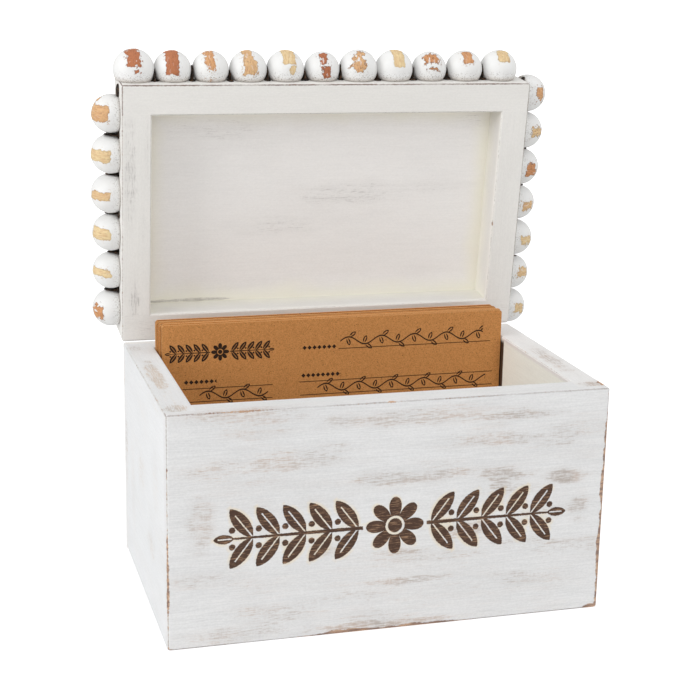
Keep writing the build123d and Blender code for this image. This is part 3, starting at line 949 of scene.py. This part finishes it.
kraft_card, bench, shader = finish("kraft_card", Specular_IOR_Level=0.2)
place = place_in_mm(bench)
x, y, z = apart(place)
mottle = grain_noise(place, (2.2, 2.0, 2.2), 5.0, 0.75)
fibres = grain_noise(place, (1.3, 2.0, 5.0), 3.0, 0.6)
crossing = grain_noise(place, (5.0, 2.0, 1.4), 3.0, 0.6)
color = mixed(fade(mottle, 0.3, 0.66), KRAFT_DARK, KRAFT)
color = mixed(fade(crossing, 0.58, 0.72, 0.0, 0.5), color, KRAFT_PALE)
color = mixed(fade(fibres, 0.58, 0.68, 0.0, 0.6), color, KRAFT_DARK)
color = mixed(fade(grain_noise(place, 1.9), 0.64, 0.72, 0.0, 0.6), color, INK)
# Painted shade and highlight: each card's cut edges take the dark or pale edge colour by its tone.
facing = apart(bench.add("NewGeometry", output="Normal"))[1]
cut_edge = fade(abs(facing), 0.7, 0.3, 0.0, 0.95)
color = mixed(cut_edge, color, mixed(stored(bench, "tone", "Fac"), EDGE_SHADOW_DARK, EDGE_HIGHLIGHT_PALE))

sprig_place = together((x - CARD_SPRIG_X) / CARD_SPRIG_SIZE, (z - CARD_SPRIG_Z) / CARD_SPRIG_SIZE)
printed = bench.use(burnt_sprig, {"Place": sprig_place})["Distance"] * -CARD_SPRIG_SIZE
for low, high, level in CARD_RULES:
    printed = most(printed, least(RULE_HALF_THICKNESS - abs(z - level), between(x, low, high)))
for low, high, level in DIAMOND_ROWS:
    from_tip = DIAMOND_PITCH / 2 - (x - low).math("PINGPONG", DIAMOND_PITCH / 2)
    diamond = DIAMOND_REACH - (from_tip + abs(z - level))
    printed = most(printed, least(diamond, between(x, low, high)))
for low, high, level in VINES:
    arch = ((x - low) / VINE_ARCH).math("FLOOR")
    up_or_down = 1.0 - arch.math("FLOORED_MODULO", 2.0) * 2.0
    local = x - low - arch * VINE_ARCH - VINE_ARCH / 2
    height = (z - level) * up_or_down
    stem = (local * (pi / VINE_ARCH)).math("COSINE") * VINE_REACH
    vine = VINE_HALF_THICKNESS - abs(height - stem) * 0.8
    for start_x, start_z, lean in VINE_LEAVES:
        vine = most(vine, -leaf(*turned(local - start_x, height - start_z, lean), *VINE_LEAF))
    printed = most(printed, least(vine, between(x, low, high)))
ink = fade(printed, -0.06, 0.08) * fade(y, FRONT_CARD_FACE, FRONT_CARD_FACE - 0.2, 0.0, 0.97)
bench.give(shader, {
    "Base Color": mixed(ink, color, INK),
    "Roughness": fade(mottle, 0.3, 0.7, 0.72, 0.86),
    "Normal": relief(mottle * 0.6 + fibres, 0.35, 0.05),
})


def random_vector(recipe, low, high):
    """A vector of its own for each card, between the two."""
    inputs = {"Min": low, "Max": high, "Seed": recipe.taken["Seed"]}
    return recipe.add("FunctionNodeRandomValue", inputs, data_type="FLOAT_VECTOR")


cards = Recipe("card_packs", Card="Object", Seed="Int")
card = cards.add("ObjectInfo", {"Object": cards.taken["Card"], "As Instance": True}, output="Geometry")
lean = random_vector(cards, (0.0, -CARD_LEAN, 0.0), (0.0, CARD_LEAN, 0.0))
slip = random_vector(cards, SLIP_FROM * MM, SLIP_TO * MM)
placed = cards.set_out(card, lean)
cards.close(cards.add("TranslateInstances", {"Instances": placed, "Translation": slip}))
card_points = []
edge_light_runs = random.Random(EDGE_LIGHT_SEED)
# Each card's tone: runs of two or three pale cards parted by one dark one, which paints shadow lines between
# them.
tone, cards_left = 1.0, 0
for pack in ("cards_back", "cards_middle", "cards_front"):
    low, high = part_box(pack)
    middle = (Vector(low) + Vector(high)) / 2
    count = round((high[1] - low[1] - CARD_THICKNESS * MM) / (CARD_PITCH * MM)) + 1
    for k in range(count):
        if cards_left == 0:
            tone = 1.0 - tone
            cards_left = edge_light_runs.choice((2, 3, 3)) if tone else 1
        cards_left -= 1
        y = low[1] + (CARD_THICKNESS / 2 + CARD_PITCH * k) * MM
        card_points.append((Vector((middle.x, y, middle.z)), {"tone": tone}))
card_values = {"Card": card_shape, "Seed": SLIP_SEED, "Material": kraft_card}
card_packs = make_piece("card_packs", cards, card_points, card_values, "box", smooth=False)
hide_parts("cards_back", "cards_middle", "cards_front")

# ---- Hinges --------------------------------------------
# Two small pressed brass hinges at the back, let into the wood, each with three knuckles on a pin.
# They are lacquered, and a little tarnished in clouds.

BRASS = srgb(214, 176, 96)
BRASS_DULL = srgb(138, 104, 54)
hinge_brass, bench, shader = finish("hinge_brass", Metallic=1.0)
place = place_in_mm(bench)
tarnish = grain_noise(place, 0.35, 4.0, 0.65)
rolled = grain_noise(place, (0.3, 7.0, 7.0))
bench.give(shader, {
    "Base Color": mixed(fade(tarnish, 0.42, 0.72, 0.0, 0.8), BRASS, BRASS_DULL),
    "Roughness": fade(tarnish, 0.35, 0.75, 0.2, 0.5) + rolled * 0.1,
    "Normal": relief(rolled, 0.3, 0.02),
})
for piece in ("box_leaf", "lid_leaf", "hinge_pin"):
    dress(piece + "_left", hinge_brass)
    dress(piece + "_right", hinge_brass)

# ---- Hinge screws --------------------------------------
# Eight brass countersunk screws with a single slot, two through each leaf. They are driven flush,
# and each slot stopped at its own angle.

SCREW_RADIUS, SCREW_SLOT, SCREW_SLOT_DEPTH = 2.0, 0.7, 0.6
SCREW_SIDES = 24
SCREW_SUNK = 0.02
SLOT_BED_SHARE, SLOT_BED_DEPTH, SLOT_BED_LAP = 0.98, 0.5, 0.05
HINGE_CENTRES = (-50.1, 50.1)
SCREW_SPREAD, SCREW_FROM_PIN = 7.5, 4.25
SLOT_TURNS = (0.4, 1.9, -0.7, 2.6, 1.1, -1.4, 0.1, 2.2)
head_parts = bmesh.new()


def round_point(radius, angle):
    return radius * cos(angle), radius * sin(angle)


def add_prism(outline, low, high):
    """A closed prism of a flat outline, in mm."""
    foot = [head_parts.verts.new((x * MM, y * MM, low * MM)) for x, y in outline]
    top = [head_parts.verts.new((x * MM, y * MM, high * MM)) for x, y in outline]
    head_parts.faces.new(reversed(foot))
    head_parts.faces.new(top)
    for k in range(len(outline)):
        j = (k + 1) % len(outline)
        head_parts.faces.new((foot[k], foot[j], top[j], top[k]))


# The head is two half discs with the slot between them, on a bed that closes the slot below.
slot_reach = sqrt(SCREW_RADIUS ** 2 - (SCREW_SLOT / 2) ** 2)
start = pi / 2 - Vector((SCREW_SLOT / 2, slot_reach)).angle(Vector((0, 1)))
half_disc = [round_point(SCREW_RADIUS, start - 2 * start * k / SCREW_SIDES) for k in range(SCREW_SIDES + 1)]
bed = [round_point(SLOT_BED_SHARE * SCREW_RADIUS, 2 * pi * k / SCREW_SIDES) for k in range(SCREW_SIDES)]
add_prism(half_disc[::-1], -SCREW_SLOT_DEPTH, -SCREW_SUNK)
add_prism([(-x, y) for x, y in half_disc], -SCREW_SLOT_DEPTH, -SCREW_SUNK)
add_prism(bed, -SCREW_SLOT_DEPTH - SLOT_BED_DEPTH, -SCREW_SLOT_DEPTH + SLOT_BED_LAP)
screw_mesh = bpy.data.meshes.new("screw_head")
head_parts.to_mesh(screw_mesh)
head_parts.free()
screw_shape = bpy.data.objects.new("screw_head", screw_mesh)

screws = Recipe("hinge_screws", Screw="Object")
screw = screws.add("ObjectInfo", {"Object": screws.taken["Screw"], "As Instance": True}, output="Geometry")
screws.close(screws.set_out(screw, screws.named("turn")))
screw_xs = [centre + way * SCREW_SPREAD for centre in HINGE_CENTRES for way in (-1, 1)]
on_lid = Matrix((TO_RIGHT, TO_JOINT.cross(TO_RIGHT), TO_JOINT)).transposed()
box_screws, lid_screws = [], []
for x, box_slot, lid_slot in zip(screw_xs, SLOT_TURNS, SLOT_TURNS[4:]):
    box_place = Vector((x, BOX_DEPTH / 2 - SCREW_FROM_PIN, BOX_HEIGHT)) * MM
    box_screws.append((box_place, {"turn": Vector((0, 0, box_slot))}))
    facing = on_lid @ Matrix.Rotation(lid_slot, 3, "Z")
    lid_screws.append((lid_place(x, -SCREW_FROM_PIN, RIM_GAP), {"turn": Vector(facing.to_euler("XYZ"))}))
screw_values = {"Screw": screw_shape, "Material": hinge_brass}
for body, points in (("box", box_screws), ("lid", lid_screws)):
    make_piece(body + "_hinge_screws", screws, points, screw_values, body, smooth=False)
